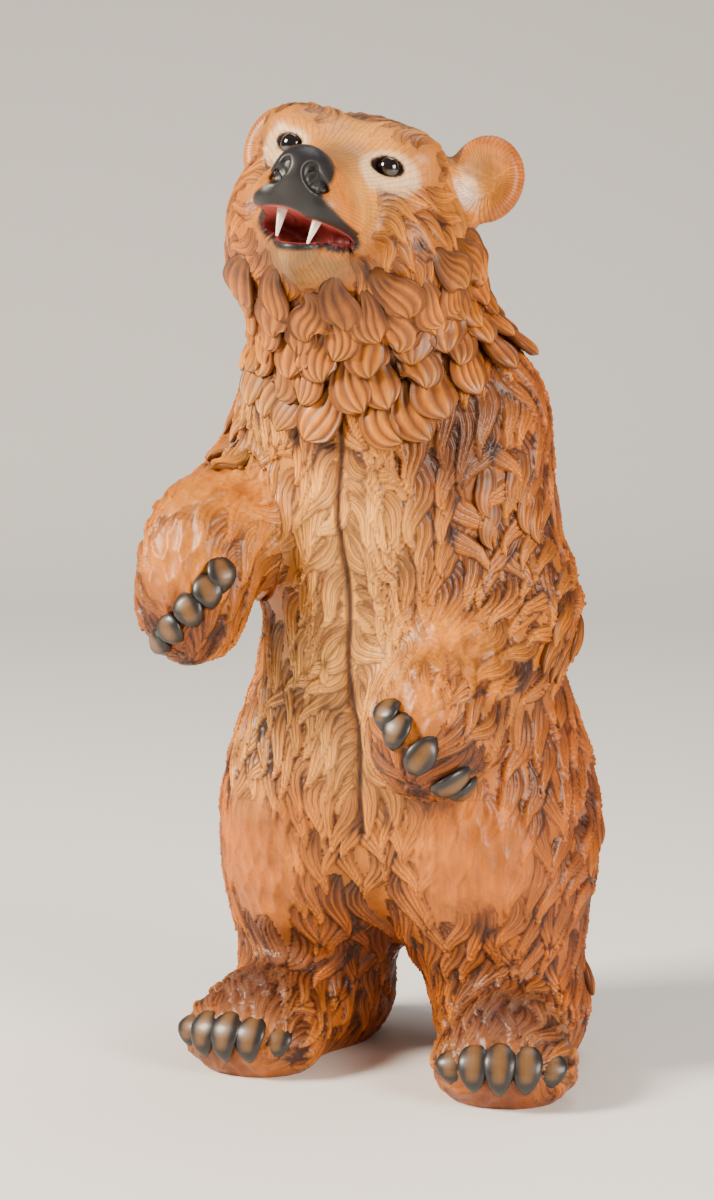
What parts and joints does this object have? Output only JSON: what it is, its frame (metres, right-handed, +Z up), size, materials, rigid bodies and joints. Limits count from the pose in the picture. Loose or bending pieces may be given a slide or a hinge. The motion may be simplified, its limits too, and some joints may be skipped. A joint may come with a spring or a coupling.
{
  "type": "bear sculpture",
  "caption": "Standing bear carved from limewood: open mouth, shingled ruff, one paw held out and one on the belly, stained and lacquered, free standing on its hind feet.",
  "frame": {"origin": "middle of the footprint of the whole figure, on the surface it stands on", "axes": "+Z up, -Y the way the bear faces, +X the bear's left"},
  "size_m": [0.1418, 0.1426, 0.3],
  "materials": {
    "limewood": "stained in honey to dark brown and lacquered to a soft gloss"
  },
  "bodies": {
    "root": {"bear": "limewood"}
  },
  "joints": []
}
